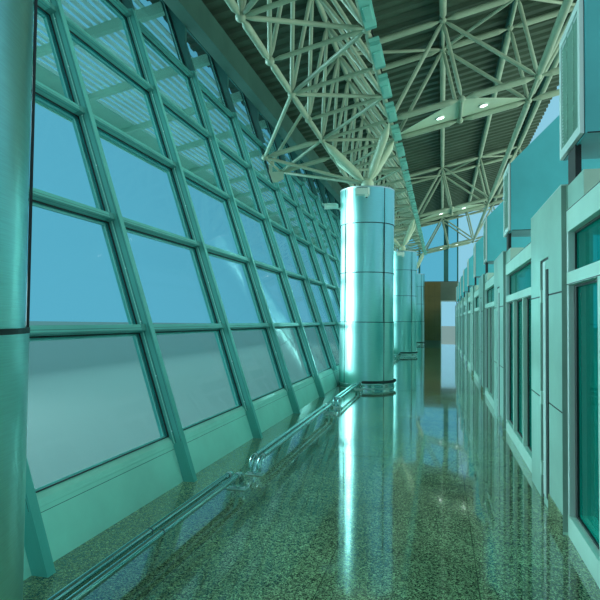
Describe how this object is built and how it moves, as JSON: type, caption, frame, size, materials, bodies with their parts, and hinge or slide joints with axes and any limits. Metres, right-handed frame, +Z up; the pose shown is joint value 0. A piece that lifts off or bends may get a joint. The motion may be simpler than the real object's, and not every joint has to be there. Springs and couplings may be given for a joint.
{
  "type": "glazed airport passage section",
  "caption": "Long fixed passage with a leaning glass wall, round clad columns, a ball-jointed tube roof and a low gate front.",
  "frame": {"origin": "centre of the whole box at its underside", "axes": "+Z up, +Y along the passage towards its end wall, +X across it towards the gate front"},
  "size_m": [12.336, 39.66, 9.6413],
  "materials": {
    "concrete": "cast concrete slab edge",
    "stone_floor": "polished speckled granite paving",
    "wall_frame": "mid teal-green powder coat",
    "kerb_panel": "pale teal powder coat",
    "clear_glass": "clear double glazing",
    "dark_metal": "dark grey-green paint",
    "eaves_metal": "pale green paint",
    "column_cladding": "satin metal sheet with open joints",
    "polished_steel": "polished stainless steel",
    "black_rubber": "matt black rubber",
    "truss_paint": "pale grey-green paint",
    "soffit_sheet": "pale beige sheet metal",
    "lamp_glass": "frosted lamp glass",
    "uplight_metal": "teal sheet metal",
    "deck_metal": "dark grey-green profiled sheet",
    "gate_panel": "pale aqua satin panels",
    "gate_frame": "off-white aluminium frames",
    "gate_glass": "dark teal tinted glass",
    "duct_metal": "dark teal-blue sheet metal",
    "grille_metal": "pale mint frame and louvres",
    "end_cladding": "grey-green panels",
    "end_panel": "brownish veneered panel"
  },
  "bodies": {
    "root": {"floor_slab": "concrete", "stone_floor": "stone_floor", "kerb_panels": "kerb_panel", "kerb_sills": "kerb_panel", "mullions": "wall_frame", "transoms": "wall_frame", "wall_glass": "clear_glass", "wall_head": "dark_metal", "eaves_posts": "dark_metal", "eaves_beam": "eaves_metal", "canopy_arms": "eaves_metal", "canopy_slats": "eaves_metal", "canopy_edge": "eaves_metal", "columns": "column_cladding", "column_skirtings": "polished_steel", "column_bumpers": "black_rubber", "column_heads": "truss_paint", "head_struts": "truss_paint", "wall_brackets": "truss_paint", "wall_struts": "truss_paint", "ball_nodes": "truss_paint", "chord_tubes": "truss_paint", "bottom_lacing": "truss_paint", "side_lacing": "truss_paint", "frame_trusses": "truss_paint", "ridge_tubes": "truss_paint", "soffit_plates": "soffit_sheet", "downlights": "lamp_glass", "uplight_boxes": "uplight_metal", "purlins": "dark_metal", "roof_deck": "deck_metal", "gate_pilasters": "gate_panel", "pilaster_clips": "grille_metal", "gate_skirtings": "stone_floor", "gate_rails": "gate_frame", "gate_glass": "gate_glass", "duct_upstands": "gate_panel", "duct_necks": "black_rubber", "duct_boxes": "duct_metal", "duct_grilles": "grille_metal", "guard_rails": "polished_steel", "rail_flanges": "polished_steel", "end_wall": "end_cladding", "end_panel": "end_panel", "end_lintel": "end_cladding", "end_glass": "clear_glass", "end_mullions": "dark_metal", "end_head": "dark_metal"}
  },
  "joints": []
}
